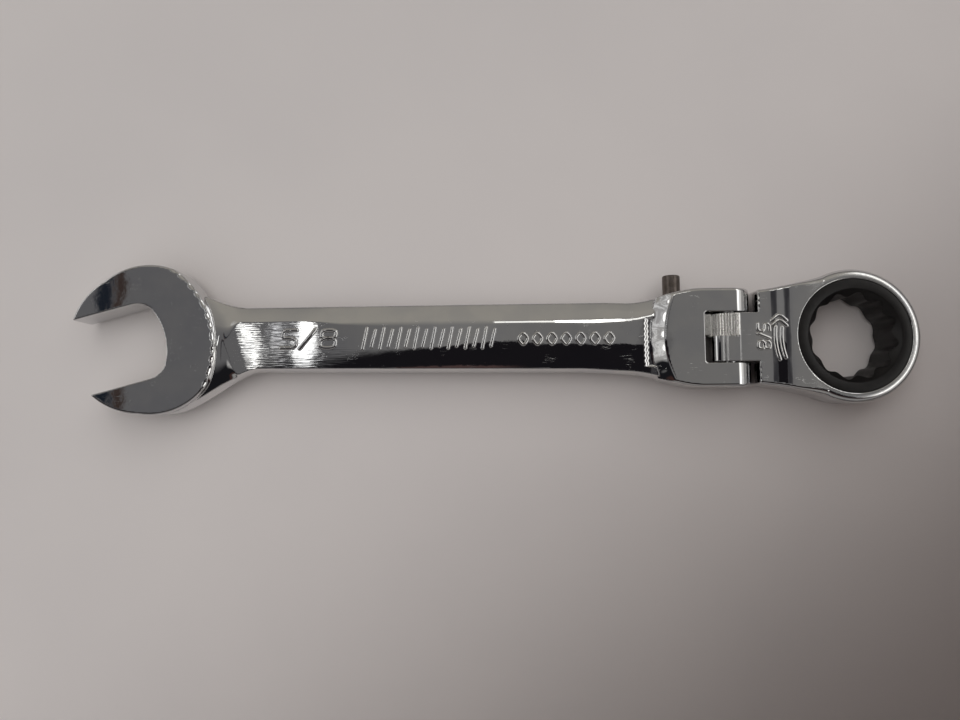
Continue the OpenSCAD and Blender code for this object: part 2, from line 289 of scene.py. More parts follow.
class Nodes:
    """Short names for the nodes of one material."""

    def __init__(self, name):
        self.material = bpy.data.materials.new(name)
        self.material.use_nodes = True
        self.tree = self.material.node_tree
        self.shader = self.tree.nodes["Principled BSDF"]
        self.place = self.new("ShaderNodeTexCoord").outputs["Object"]

    def new(self, kind, **settings):
        node = self.tree.nodes.new(kind)
        for key, value in settings.items():
            setattr(node, key, value)
        return node

    def link(self, value, socket):
        if isinstance(value, bpy.types.NodeSocket):
            self.tree.links.new(value, socket)
        else:
            socket.default_value = value

    def scaled(self, x, y, z):
        """The place on the object, in cells of that size in millimetres."""
        node = self.new("ShaderNodeMapping")
        self.link(self.place, node.inputs["Vector"])
        node.inputs["Scale"].default_value = (1 / (x * MM), 1 / (y * MM), 1 / (z * MM))
        return node.outputs["Vector"]

    def noise(self, size, detail=2.0, rough=0.5):
        node = self.new("ShaderNodeTexNoise")
        sizes = size if isinstance(size, tuple) else (size, size, size)
        self.link(self.scaled(*sizes), node.inputs["Vector"])
        node.inputs["Scale"].default_value = 1.0
        node.inputs["Detail"].default_value = detail
        node.inputs["Roughness"].default_value = rough
        return node.outputs["Fac"]

    def map(self, value, low, high, to_low=0.0, to_high=1.0, soft=True):
        node = self.new("ShaderNodeMapRange", interpolation_type="SMOOTHSTEP" if soft else "LINEAR")
        self.link(value, node.inputs["Value"])
        for name, number in (("From Min", low), ("From Max", high), ("To Min", to_low), ("To Max", to_high)):
            self.link(number, node.inputs[name])
        return node.outputs["Result"]

    def math(self, operation, a, b=0.0):
        node = self.new("ShaderNodeMath", operation=operation)
        self.link(a, node.inputs[0])
        self.link(b, node.inputs[1])
        return node.outputs[0]

    def mix(self, share, a, b):
        node = self.new("ShaderNodeMix", data_type="RGBA")
        self.link(share, node.inputs["Factor"])
        for value, socket in ((a, node.inputs[6]), (b, node.inputs[7])):
            self.link(value if isinstance(value, bpy.types.NodeSocket) else (*value, 1.0), socket)
        return node.outputs[2]

    def axes(self):
        """X, Y and Z on the object in millimetres."""
        node = self.new("ShaderNodeSeparateXYZ")
        self.link(self.scaled(1, 1, 1), node.inputs[0])
        return [node.outputs[k] for k in range(3)]

    def bump(self, height, strength, distance, below=None):
        node = self.new("ShaderNodeBump")
        self.link(strength, node.inputs["Strength"])
        node.inputs["Distance"].default_value = distance * MM
        self.link(height, node.inputs["Height"])
        if below is not None:
            self.link(below, node.inputs["Normal"])
        return node.outputs["Normal"]

    def scratches(self, size, turn, width=0.02):
        """Thin curved lines, 1 on a line and 0 elsewhere: where a stretched noise passes its middle."""
        node = self.new("ShaderNodeMapping")
        self.link(self.place, node.inputs["Vector"])
        node.inputs["Rotation"].default_value = (0, 0, math.radians(turn))
        node.inputs["Scale"].default_value = (1 / (size * 9 * MM), 1 / (size * MM), 1 / (size * 4 * MM))
        tex = self.new("ShaderNodeTexNoise")
        self.link(node.outputs["Vector"], tex.inputs["Vector"])
        tex.inputs["Scale"].default_value = 1.0
        tex.inputs["Detail"].default_value = 1.0
        away = self.math("ABSOLUTE", self.math("SUBTRACT", tex.outputs["Fac"], 0.5))
        return self.map(away, width, 0.0)

    def specks(self, size, share):
        """Small spots, as 1 in a spot and 0 elsewhere."""
        node = self.new("ShaderNodeTexVoronoi")
        self.link(self.scaled(size, size, size), node.inputs["Vector"])
        node.inputs["Scale"].default_value = 1.0
        return self.map(node.outputs["Distance"], share, share * 0.5)


def chrome(name, panel=False, raw=False):
    """Bright chrome plating with faint waves, scuffs and pits.

    A panel has ground lines on the handle's flat. A raw finish leaves the hinge notches and the ring satin.
    """
    m = Nodes(name)
    x, y, z = m.axes()
    tone = m.map(m.noise(7.0, 3.0), 0.35, 0.65)
    colour = m.mix(tone, (0.61, 0.61, 0.62), (0.66, 0.655, 0.65))
    fine = m.noise(0.5, 4.0, 0.6)
    scuff = m.math("MULTIPLY", m.specks(1.7, 0.07), m.map(m.noise(4.0, 1.0), 0.5, 0.62))
    marks = m.math("MULTIPLY", m.scratches(0.8, -50, 0.004), m.map(m.noise(3.0, 1.0), 0.58, 0.68))
    worn = m.math("MAXIMUM", scuff, marks)
    rough = m.map(fine, 0.3, 0.75, 0.012, 0.035, False)
    rough = m.math("ADD", rough, m.math("MULTIPLY", worn, 0.16))
    normal = m.bump(m.noise(3.0, 2.0), 0.05, 0.12)
    normal = m.bump(m.noise(0.35, 3.0, 0.6), 0.10, 0.006, normal)
    normal = m.bump(worn, 0.5, 0.008, normal)
    if panel:
        flat = m.math("MULTIPLY", m.map(m.math("ABSOLUTE", m.math("SUBTRACT", y, PANEL_Y)), 5.3, 4.9),
                      m.map(z, SHANK_TOP - 0.25, SHANK_TOP - 0.1))
        start = m.map(m.math("ADD", x, m.math("MULTIPLY", y, 0.31)), -128.6, -127.6)
        ground = m.math("MULTIPLY", m.math("MULTIPLY", flat, start), m.map(x, -100.0, -113.0, 0.0, 1.0))
        lines = m.noise((4.0, 0.25, 0.5), 1.0, 0.5)
        normal = m.bump(lines, ground, 0.008, normal)
        normal = m.bump(m.noise((7.0, 5.0, 5.0), 0.0), ground, 0.02, normal)
    if raw:
        teeth = m.math("MULTIPLY", m.map(x, NOTCH_END + 0.2, NOTCH_END - 0.3), m.map(y, 0.1, 0.4))
        teeth = m.math("MULTIPLY", teeth, m.map(m.math("ABSOLUTE", y), 5.3, 5.0))
        rough = m.math("ADD", rough, m.math("MULTIPLY", teeth, 0.12))
        normal = m.bump(m.noise((0.16, 0.2, 0.16), 3.0, 0.7), teeth, 0.03, normal)
        colour = m.mix(teeth, colour, (0.86, 0.845, 0.82))
        from_axis = m.math("POWER", m.math("ADD", m.math("POWER", x, 2.0), m.math("POWER", y, 2.0)), 0.5)
        rim = m.math("MULTIPLY", m.map(from_axis, 12.3, 12.6), m.map(x, -11.5, -8.0))
        satin = m.noise((0.12, 0.12, 0.3), 3.0, 0.7)
        normal = m.bump(satin, rim, 0.006, normal)
        rough = m.math("ADD", rough, m.math("MULTIPLY", rim, 0.14))
    m.link(colour, m.shader.inputs["Base Color"])
    m.shader.inputs["Metallic"].default_value = 1.0
    m.link(rough, m.shader.inputs["Roughness"])
    m.link(normal, m.shader.inputs["Normal"])
    return m.material


def steel(name, dark, light, grain, rough, lines=None, metallic=1.0, depth=0.006, gloss=0.5):
    """Bare or oxidised steel: two tones in a fine grain, and machining lines where given as a noise size."""
    m = Nodes(name)
    tone = m.map(m.noise(grain * 6, 4.0, 0.6), 0.35, 0.65)
    fine = m.noise(grain, 3.0, 0.6)
    both = m.math("MULTIPLY", m.math("ADD", tone, fine), 0.5)
    m.link(m.mix(both, dark, light), m.shader.inputs["Base Color"])
    m.shader.inputs["Metallic"].default_value = metallic
    m.shader.inputs["Specular IOR Level"].default_value = gloss
    m.link(m.map(fine, 0.3, 0.7, rough - 0.06, rough + 0.08, False), m.shader.inputs["Roughness"])
    normal = m.bump(fine, 0.4, depth)
    if lines:
        normal = m.bump(m.noise(lines, 2.0, 0.6), 0.5, depth * 1.5, normal)
    m.link(normal, m.shader.inputs["Normal"])
    return m.material


plating = chrome("chrome_handle", panel=True)
plating_head = chrome("chrome_head", raw=True)
plating_marks = chrome("chrome_marks")
oxide = steel("black_oxide", (0.004, 0.0035, 0.0035), (0.012, 0.010, 0.010), 0.3, 0.40,
              metallic=0.0, gloss=0.3)
brown = steel("brown_oxide", (0.075, 0.06, 0.052), (0.17, 0.145, 0.13), 0.25, 0.36, (0.5, 0.3, 0.5), 0.8)
ground = steel("ground_pin", (0.45, 0.45, 0.46), (0.62, 0.62, 0.62), 0.15, 0.2, (0.08, 2.0, 0.08))
machined = steel("machined_steel", (0.42, 0.41, 0.40), (0.66, 0.645, 0.62), 0.12, 0.3, (0.1, 1.2, 0.1),
                 depth=0.02)
wire = steel("spring_wire", (0.4, 0.4, 0.4), (0.62, 0.62, 0.61), 0.1, 0.28)


# ---------------------------------------------------------------- handle

def smooth_cos(t):
    """A rise from 0 to 1, as half a wave."""
    return (1 - np.cos(np.pi * np.clip(t, 0, 1))) / 2


def half_width(x):
    """Half the width of the handle at x, without its spread into the open end."""
    d = np.minimum(-x, ROOT_FROM)
    flare = SHANK_FRONT + (FORK_HALF - SHANK_FRONT) * smooth_cos((FLARE_FROM - d) / (FLARE_FROM - FLARE_TO))
    taper = SHANK_FRONT + (SHANK_BACK - SHANK_FRONT) * (d - FLARE_FROM) / (ROOT_FROM - FLARE_FROM)
    return np.where(d < FLARE_FROM, flare, taper)


def sides(x):
    """How far the handle reaches towards +Y and -Y at x. Grinding has taken its -Y side back."""
    taken, full, spread_up, spread_low = 0.55, 0.2, 6.4, 8.1
    ground = taken * smooth((x + 132.0) / 8.0) * (1 - smooth((x + 58.0) / 14.0))
    up = half_width(x) + full * smooth((-x - 44) / 8) + spread_up * smooth_cos((-x - 126.0) / 22.0)
    low = half_width(x) - ground + spread_low * smooth_cos((-x - 123.0) / 20.0)
    return up, low


def disc(x, y, cx, cy, r):
    """Distance outside a circle."""
    return np.hypot(x - cx, y - cy) - r


def jaw_axes(x, y):
    """The open end's own axes: u out between the jaws, v across them."""
    qx = x + SPAN
    c, s = math.cos(JAW_ANGLE), math.sin(JAW_ANGLE)
    return -qx * c - y * s, qx * s - y * c


def jaw_outline(u, v):
    """The open end's outline: three circles, cut off at the tips."""
    around = disc(u, v, 0, 0, JAW_R)
    for side in (1, -1):
        around = np.minimum(around, disc(u, v, JAW_SIDE_U, side * JAW_SIDE_V, JAW_SIDE_R))
    return cut(around, u - JAW_REACH, 0.3)


def worn_edge(u, v):
    """How wide the buffed edge along the back of the open end is: it comes and goes."""
    mean, swing, dash = 0.31, 0.17, 2.6
    turn = np.arctan2(v, ARC_U - u) * ARC_R
    return mean + swing * np.tanh(2.2 * np.sin(turn * dash + 0.8 * np.sin(turn * 0.9)) + 0.4)


def panel_top(x, y):
    """Height of the handle's ground flat, which is crowned a little towards the fork."""
    crown, middle_y, half = 0.05, -0.8, 5.0
    return SHANK_TOP - crown * smooth((x + 118.0) / 30.0) * np.minimum(np.abs(y - middle_y) / half, 1.2) ** 2


def open_end(u, v, top):
    """The open end without its gap: a flat slab with a steep back, which has a buffed edge at 30 degrees."""
    arc = disc(u, v, ARC_U, 0, ARC_R)
    back = (arc - (JAW_TOP - top) * 0.15) * 0.98
    buffed = arc * 0.5 + (top - JAW_TOP) * 0.866 + worn_edge(u, v) * 0.5
    return cut(cut(jaw_outline(u, v), top - JAW_TOP, 0.42), cut(back, buffed, 0.12), 0.12)


def shank(x, y, top, arc):
    """The forged bar: a slope on each side, a flank below it on -Y, and a flat ground into the top."""
    slope_top, slope_low_top, bulge = 3.02, 3.04, 0.12
    up, low = sides(x)
    from_up, from_low = up - y, low + y
    # the spread into the open end, as 0 to 1, and the +Y slope
    spread = 1 - smooth((arc + ARC_R - 20.5) / 5.5)
    wide = 3.25 + 0.6 * smooth((x + 114) / 8) * (1 - smooth((x + 64) / 16)) + 4.2 * spread
    t = np.clip(from_up / wide, -0.3, 3)
    edge_z = 1.25 + 0.5 * spread
    side_up = (top - (edge_z + (slope_top - edge_z) * t * (1 + bulge - bulge * t))) * 0.85
    # the flank, up to a sill that falls towards the open end, and the slope above it
    fall = smooth((-x - 127.4) / 5.0)
    flank, sill = 0.42 + 0.8 * fall, 2.3 - 0.35 * fall
    side_low = (top * flank - sill * from_low) / np.hypot(flank, sill)
    ease = flank + 0.35 + 5.6 * fall
    slope_low = (top - (sill + (slope_low_top - sill) * (from_low - flank) / (ease - flank))) * 0.9
    # the flat, whose edge is crisp beside the nut size and softest before the fork
    flat = top - panel_top(x, y)
    soft = 0.05 + 0.3 * smooth((x + 116) / 20) + 0.3 * spread + 0.45 * np.exp(-((x + 52) / 7) ** 2)
    section = cut(flat, side_up, soft)
    section = cut(section, cut(side_low, slope_low, 0.12), 0.15 + 0.8 * spread)
    section = cut(section, np.maximum(-from_up, -from_low) * 0.9, 0.25)
    section = np.maximum(section, np.maximum(SHANK_FROM - x, x - SHANK_TO))
    # the ribbed step at the flat's end
    step = (PANEL_END + 0.1 * np.sin(y * 5.6) - x - (top - PANEL_STEP_Z) * 2.0) * 0.45
    groove = cut(cut(PANEL_STEP_Z - top, step, 0.08), np.abs(y - PANEL_Y) - PANEL_HALF, 0.3)
    return cut(section, -groove, 0.1)


def fork(x, y, z):
    """The fork without its slot and bores: a bevelled round back, and ears with round ends."""
    top = np.abs(z)
    drop, outer_r = 1.7, 24.8
    r = np.hypot(x - FORK_BACK_X, y)
    t = np.clip((r - FORK_BACK_R) / FORK_SLOPE, 0, 1)
    back = ((r - FORK_BACK_R) * drop + (top - NECK_TOP) * FORK_SLOPE) / math.hypot(drop, FORK_SLOPE)
    around = np.arctan2(y, FORK_BACK_X - x) * FORK_BACK_R
    wave = 0.055 + 0.02 * np.sin(around * 1.9 + 0.7 * np.sin(around * 0.8))
    back = np.maximum(back + wave * np.sin(np.pi * t), r - outer_r)
    round_end = (np.hypot((x - HINGE) / EAR_R, z / NECK_TOP) - 1) * EAR_R
    ear = np.where(x > HINGE, round_end, top - NECK_TOP)
    return cut(cut(np.abs(y) - half_width(x), ear, 0.75), back, 0.16)


def handle_field(x, y, z):
    """The handle: the bar, the open end and the fork, with what is cut out of them."""
    top = np.abs(z)
    u, v = jaw_axes(x, y)
    bar = shank(x, y, top, disc(u, v, ARC_U, 0, ARC_R))
    body = join(join(bar, open_end(u, v, top), 0.12), fork(x, y, z), 0.1)
    gap = cut(np.abs(v) - JAW_GAP, np.hypot(np.minimum(u - THROAT_U, 0), v) - THROAT_R, 2.0)
    body = cut(body, -gap, 0.25)
    # the slot, the hinge hole and the lock's bores
    slot = cut(np.abs(y) - SLOT_HALF, SLOT_BASE - x, 0.6)
    body = cut(body, -slot, 0.16)
    body = cut(body, PIN_HOLE_R - np.hypot(x - HINGE, z), 0.14)
    bore = np.maximum(np.hypot(x - BUTTON_X, z) - BUTTON_BORE_R, BUTTON_BORE_END - y)
    body = cut(body, -bore, 0.22)
    pocket = np.maximum(np.abs(y - PLUNGER_Y) - POCKET_HALF, top - POCKET_TOP)
    pocket = np.maximum(pocket, np.maximum(POCKET_FROM - x, x - POCKET_TO))
    tail = np.maximum(np.hypot(y - PLUNGER_Y, z) - TAIL_BORE_R, np.maximum(BUTTON_X - x, x - TAIL_BORE_TO))
    return np.maximum(np.maximum(body, -pocket), -tail)


# The grid is finest at the open end's buffed edge, and fine at the step and the fork
handle_points, handle_normals, handle_faces = surface_net(
    handle_field,
    grid_line((-163.0, -140.4, 0.3), (-140.4, -131.2, 0.13), (-131.2, -124.4, 0.3), (-124.4, -46.4, 1.0),
              (-46.4, -19.8, 0.22)),
    grid_line((-15.7, 16.6, 0.245)),
    grid_line((-4.7, -2.3, 0.15), (-2.3, 2.3, 0.33), (2.3, 4.7, 0.15)),
)
make_piece("handle_forging", handle_points, handle_faces, plating, "handle",
           ["handle"], handle_normals)


# ---------------------------------------------------------------- head

# Slope of the neck's face at places along X, from the fork to the ring
SLOPE_X = (-17.65, -17.3, -16.0, -15.2, -14.5, -13.1, -12.7)
SLOPE = (0.0, 0.148, 0.160, 0.25, 0.178, 0.167, 0.0)
ramp_x = np.linspace(SHOULDER, 0, 600)
blur = np.hanning(44)
ramp_slope = np.convolve(np.interp(ramp_x, SLOPE_X, SLOPE), blur / blur.sum(), "same")
ramp_rise = np.cumsum(ramp_slope) * (ramp_x[1] - ramp_x[0])
ramp_z = NECK_TOP + (RING_TOP - NECK_TOP) * ramp_rise / ramp_rise[-1]


def neck_top(x):
    """Height of the head's face at x."""
    return np.interp(x, ramp_x, ramp_z)


def notch_wave(x, z):
    """1 at the bottom of a notch round the hinge and 0 at a tooth's tip."""
    turn = np.arctan2(z, -(x - HINGE)) * NOTCHES / (2 * np.pi)
    return np.abs(1 - 2 * (turn - np.floor(turn)))


def tongue(x, y, z):
    """The tongue between the ears: smooth on -Y with two fine grooves, notched on +Y."""
    top = np.abs(z)
    q = np.hypot(x - HINGE, z)
    face = top - NECK_TOP
    smooth_half = cut(face, HINGE - TONGUE_REACH - x, 1.5)
    groove_z, groove_r = 4.42, 0.17
    groove = np.minimum(np.hypot(x + 27.03, top - groove_z), np.hypot(x + 26.2, top - groove_z)) - groove_r
    smooth_half = cut(smooth_half, -groove, 0.05)
    teeth = (q - (NOTCH_R - NOTCH_D * notch_wave(x, z))) * 0.6
    notched = np.minimum(teeth, cut(face, NOTCH_END - x, 0.05))
    halves = np.where(y < TONGUE_SPLIT, np.maximum(smooth_half, y - TONGUE_SPLIT),
                      np.maximum(notched, TONGUE_SPLIT - y))
    share = np.maximum(np.minimum(smooth_half, notched), x - TONGUE_ROOT)
    hub_r = 3.6
    halves = np.where((x > NOTCH_END) | (q < hub_r), share, np.maximum(halves, x - TONGUE_ROOT))
    return cut(halves, np.abs(y) - TONGUE_HALF, 0.1)


def head_field(x, y, z):
    """The head: the ring, the neck and the tongue, with what is cut out of them."""
    top = np.abs(z)
    r = np.hypot(x, y)
    s = x - SHOULDER
    side = np.abs(y) - (NECK_HALF + FLARE * s + FLARE_RISE * s * s)
    neck_to = -5.0
    plan = np.minimum(r - RING_R, np.maximum(side, x - neck_to))
    # the rounding of the face's edge grows from the neck to the ring
    rim = 0.7 + 0.75 * smooth((x + 12.5) / 6.0)
    shoulder_edge = 0.3 + 0.13 * np.sin(y * 4.6 + np.sin(y * 1.7))
    body = cut(cut(plan, top - neck_top(x), rim), SHOULDER - x, shoulder_edge)
    body = np.minimum(body, tongue(x, y, z))
    # the gear's bore and the ring's groove, the hinge hole, the pawl's pocket and its spring's bore
    bore = np.minimum(r - GEAR_BORE_R, np.maximum(r - CHAMBER_R, z - LIP_Z))
    bore = np.minimum(bore, np.maximum(r - CLIP_GROOVE_R, np.abs(z - CLIP_Z) - CLIP_HALF))
    body = cut(body, -bore, 0.17)
    body = cut(body, PIN_TURN_R - np.hypot(x - HINGE, z), 0.1)
    pocket = np.maximum(np.abs(y) - PAWL_HALF, top - PAWL_TOP)
    pocket = np.maximum(pocket, np.maximum(PAWL_FROM - x, x - PAWL_TO))
    spring = np.maximum(np.hypot(y, z) - PAWL_SPRING_R, np.maximum(PAWL_SPRING_END - x, x - PAWL_SPRING_TO))
    return np.maximum(np.maximum(body, -pocket), -spring)


head_points, head_normals, head_faces = surface_net(
    head_field,
    grid_line((-29.4, -23.3, 0.12), (-23.3, 14.4, 0.247)),
    grid_line((-14.4, 14.4, 0.247)),
    grid_line((-5.6, 5.6, 0.14)),
)
make_piece("head_forging", head_points, head_faces, plating_head, "ratchet_head",
           ["ratchet_head"], head_normals)


# ---------------------------------------------------------------- ring gear

CORNER_R, VALLEY_R = JAW_GAP / math.cos(math.pi / 6), JAW_GAP / math.cos(math.pi / 12)
LOBES, LOBE_TURN = 12, math.radians(20)
LEAD_R, LEAD_Z = VALLEY_R + 0.5, GEAR_TOP - 1.1
TEETH, ROOT_R, TIP_R, STEEP = 72, GEAR_R + 0.1, GEAR_R + 0.55, 0.2


def gear_section(turn):
    """The ring gear's profile of (radius, height) at a share of a full turn."""
    wave = math.cos(LOBES * (2 * math.pi * turn - LOBE_TURN))
    lobe = (CORNER_R + VALLEY_R) / 2 + (CORNER_R - VALLEY_R) / 2 * wave
    share = (turn * TEETH) % 1.0
    tooth = ROOT_R + (TIP_R - ROOT_R) * (share / STEEP if share < STEEP else (1 - share) / (1 - STEEP))
    meet = LEAD_Z + lobe - LEAD_R
    rise = GEAR_TOP - 0.12 - meet
    cone = [(lobe + rise * t, meet + rise * t) for t in (0.06, 0.5, 0.9, 1)]
    rim_r = cone[-1][0]
    upper = cone + [(rim_r + 0.05, GEAR_TOP - 0.035), (rim_r + 0.14, GEAR_TOP)]
    wall = [(lobe, meet - 0.03), (lobe, meet * 0.5)]
    groove_r = COLLAR_R - 0.4
    outer = [(GEAR_R - 0.22, GEAR_TOP), (GEAR_R - 0.08, GEAR_TOP - 0.04), (GEAR_R, GEAR_TOP - 0.16),
             (GEAR_R, BELT_HIGH + 0.02), (GEAR_R, BELT_HIGH), (tooth, BELT_HIGH), (tooth, BELT_LOW),
             (COLLAR_R, BELT_LOW), (COLLAR_R, CLIP_Z + CLIP_HALF), (groove_r, CLIP_Z + CLIP_HALF),
             (groove_r, CLIP_Z - CLIP_HALF), (COLLAR_R, CLIP_Z - CLIP_HALF),
             (COLLAR_R, -GEAR_TOP + 0.15), (COLLAR_R - 0.15, -GEAR_TOP)]
    lower = [(r, -h) for r, h in upper[::-1] + wall]
    return outer + lower + wall[::-1] + upper


def gear_mesh(sides=1440):
    """The ring gear: a satin top with rounded edges, a lead-in cone, twelve lobes, and ratchet teeth."""
    points, faces = [], []
    n = len(gear_section(0))
    for i in range(sides):
        a = 2 * math.pi * i / sides
        points += [(r * math.cos(a), r * math.sin(a), h) for r, h in gear_section(i / sides)]
    for i in range(sides):
        j = (i + 1) % sides
        for k in range(n):
            m = (k + 1) % n
            faces.append([i * n + k, i * n + m, j * n + m, j * n + k])
    return points, faces


gear_points, gear_faces = gear_mesh()
make_piece("gear_black", gear_points, np.array(gear_faces)[:, ::-1], oxide, "ring_gear",
           ["ring_gear"], sharp=35)


# ---------------------------------------------------------------- small turned and milled parts

def round_corner(r, h, size, quarter):
    """Points round a convex corner, from its side to its end."""
    steps = [math.pi / 2 * i / 5 for i in range(6)]
    return [(r - size + size * math.cos(a), h + quarter * (size * math.sin(a) - size)) for a in steps]


pin_half = pin_box[1][1]
pin_profile = ([(0.0, -pin_half + 0.05), (0.35, -pin_half), (1.25, -pin_half)]
               + round_corner(PIN_R, -pin_half, 0.25, -1)[::-1] + round_corner(PIN_R, pin_half, 0.25, 1)
               + [(0.35, pin_half), (0.0, pin_half - 0.05)])
pin_points, pin_faces = lathe(pin_profile, lambda a, b, h: (HINGE + a, h, b))
make_piece("pin_ground", pin_points, pin_faces, ground, "handle", ["hinge_pin"], sharp=40)

button_low, button_end = button_box[0][1], button_box[1][1]
CONE_FROM = PLUNGER_Y - 0.35
KNOB_FROM, COLLAR_FROM = PLUNGER_Y + PRESS + 1.4, PLUNGER_Y - 1.25
KNOB_R, COLLAR_LOW, SPIGOT_R, CONE_HIGH_R, CONE_LOW_R = 1.85, COLLAR_FROM - 1.25, 0.9, 1.6, 0.85
button_profile = ([(0.0, button_low), (SPIGOT_R - 0.15, button_low), (SPIGOT_R, button_low + 0.15),
                   (SPIGOT_R, COLLAR_LOW), (KNOB_R - 0.15, COLLAR_LOW), (KNOB_R - 0.02, COLLAR_LOW + 0.15),
                   (KNOB_R - 0.02, COLLAR_FROM), (CONE_HIGH_R, COLLAR_FROM), (CONE_HIGH_R, CONE_FROM),
                   (CONE_LOW_R, CONE_FROM + PRESS), (CONE_LOW_R, KNOB_FROM), (KNOB_R, KNOB_FROM + 1.0),
                   (KNOB_R, button_end - 1.0)]
                  + round_corner(KNOB_R, button_end, 0.32, 1) + [(0.6, button_end), (0.0, button_end)])
button_points, button_faces = lathe(button_profile, lambda a, b, h: (BUTTON_X + a, h, b))
make_piece("button_turned", button_points, button_faces, brown, "lock_button",
           ["lock_button"], sharp=40)


def plunger_field(x, y, z):
    """The lock plunger: a block whose nose fits the notches, with a tail that rests on the button's cone."""
    block_top, block_half, tooth_gap, tail_r, tip_r, taper = 3.2, 2.25, 0.08, 1.2, 0.35, 0.708
    top = np.abs(z)
    q = np.hypot(x - HINGE, z)
    back = HINGE - 8.2
    nose = NOTCH_R * math.sin(math.radians(1.5 * 360 / NOTCHES)) - NOSE_CLEAR
    block = np.maximum(top - block_top, x - (HINGE - NOTCH_R - 0.1))
    face = np.maximum(top - nose, x - (HINGE - NOTCH_R + 0.7))
    block = np.maximum(np.minimum(block, face), back - x)
    block = cut(block, np.abs(y - PLUNGER_Y) - block_half, 0.12)
    wave = (q - (NOTCH_R - NOTCH_D * notch_wave(x, z) + tooth_gap)) * 0.6
    block = cut(block, -wave, 0.03)
    d = np.hypot(y - PLUNGER_Y, z)
    along = x - plunger_box[0][0]
    ends = np.maximum(-along, x - back - 0.3)
    tail = np.maximum(d - np.minimum(tail_r, tip_r + taper * along), ends) * 0.8
    return join(block, tail, 0.1)


PLUNGER_ROOM = 0.3
plunger_low, plunger_high = plunger_box[0] - PLUNGER_ROOM, plunger_box[1] + PLUNGER_ROOM
plunger_grid = [grid_line(span) for span in zip(plunger_low, plunger_high, (0.1, 0.14, 0.1))]
plunger_points, plunger_normals, plunger_faces = surface_net(plunger_field, *plunger_grid)
make_piece("plunger_milled", plunger_points, plunger_faces, machined, "lock_plunger",
           ["lock_plunger"], plunger_normals)

for node, material in (("gear_retaining_ring", wire), ("pawl", machined)):
    mesh = frame["nodes"][node].data
    mesh.materials.clear()
    mesh.materials.append(material)


def coil_spring(node, body, along, fixed, turns, wire_r):
    """A coil of round wire in a spring node's box."""
    low, high = box_mm(node)
    sides, steps = 10, 28 * turns
    side_axes = [(along + 1) % 3, (along + 2) % 3]
    centre = (low + high) / 2
    mean_r = (high - low)[side_axes[1]] / 2 - wire_r
    length = high[along] - low[along]
    points = []
    for i in range(steps + 1):
        a = 2 * math.pi * turns * i / steps
        for k in range(sides):
            b = 2 * math.pi * k / sides
            r = mean_r + wire_r * math.cos(b)
            p = centre.copy()
            p[side_axes[0]] += r * math.cos(a)
            p[side_axes[1]] += r * math.sin(a)
            p[along] = low[along] + wire_r + (length - 2 * wire_r) * i / steps + wire_r * math.sin(b)
            points.append(tuple(p))
    faces = row_faces(steps + 1, sides, False, True) + end_faces(steps + 1, sides)
    piece = make_piece(node + "_coil", points, faces, wire, body, [node], sharp=50)
    axis, anchor = [0.0, 0.0, 0.0], centre * MM
    axis[along] = 1.0
    anchor[along] = fixed * MM
    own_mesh(piece)


coil_spring("pawl_spring", "ratchet_head", 0, PAWL_SPRING_END, 6, 0.17)
coil_spring("lock_button_spring", "handle", 1, BUTTON_BORE_END, 7, 0.22)


# ---------------------------------------------------------------- raised marks

def rounded_path(path, corner, closed=False):
    """The path with its corners cut three times, so that strokes turn smoothly."""
    p = [np.array(q, float) for q in path]
    for _ in range(3):
        made = []
        count = len(p) if closed else len(p) - 1
        for i in range(count):
            a, b = p[i], p[(i + 1) % len(p)]
            d = np.linalg.norm(b - a)
            share = min(0.25, corner / max(d, 1e-6))
            first, last = i == 0 and not closed, i == count - 1 and not closed
            made += [a if first else a + (b - a) * share, b if last else b - (b - a) * share]
        p = made
    if closed:
        p = p + [p[0]]
    return np.array(p)


def bead(path, half, height, level, closed=False):
    """A raised stroke along a path: a squarish oval bead whose crest stands height over level(x, y)."""
    p = rounded_path(path, half * 0.9, closed)
    along = np.gradient(p, axis=0)
    if closed:
        along[0] = along[-1] = p[1] - p[-2]
    along /= np.maximum(np.linalg.norm(along, axis=1), 1e-9)[:, None]
    across = np.stack([-along[:, 1], along[:, 0]], 1)
    sides, roundness, low_share = 14, 2.3, 0.6
    stations = [(p[i], across[i], 1.0) for i in range(len(p))]
    if not closed:
        ends = [(0.0, 1.0), (0.5, 0.87), (0.87, 0.5), (0.99, 0.12)]
        start = [(p[0] - along[0] * half * o, across[0], w) for o, w in ends[::-1][:-1]]
        finish = [(p[-1] + along[-1] * half * o, across[-1], w) for o, w in ends[1:]]
        stations = start + stations + finish
    else:
        stations = stations[:-1]
    points = []
    for at, side, w in stations:
        for k in range(sides):
            a = 2 * math.pi * k / sides
            c, s = math.cos(a), math.sin(a)
            square = (abs(c) ** roundness + abs(s) ** roundness) ** (-1 / roundness)
            x, y = at + side * half * w * c * square
            points.append((x, y, level(x, y) + height * w * s * square * (1.0 if s > 0 else low_share)))
    n = len(stations)
    return points, row_faces(n, sides, closed, True) + ([] if closed else end_faces(n, sides))


def mark(name, strokes, half, height, level, body):
    """One piece made of several raised strokes."""
    points, faces = [], []
    for path, closed in strokes:
        p, f = bead(path, half, height, level, closed)
        faces += [[i + len(points) for i in face] for face in f]
        points += p
    make_piece(name, points, faces, plating_marks, body, sharp=60)


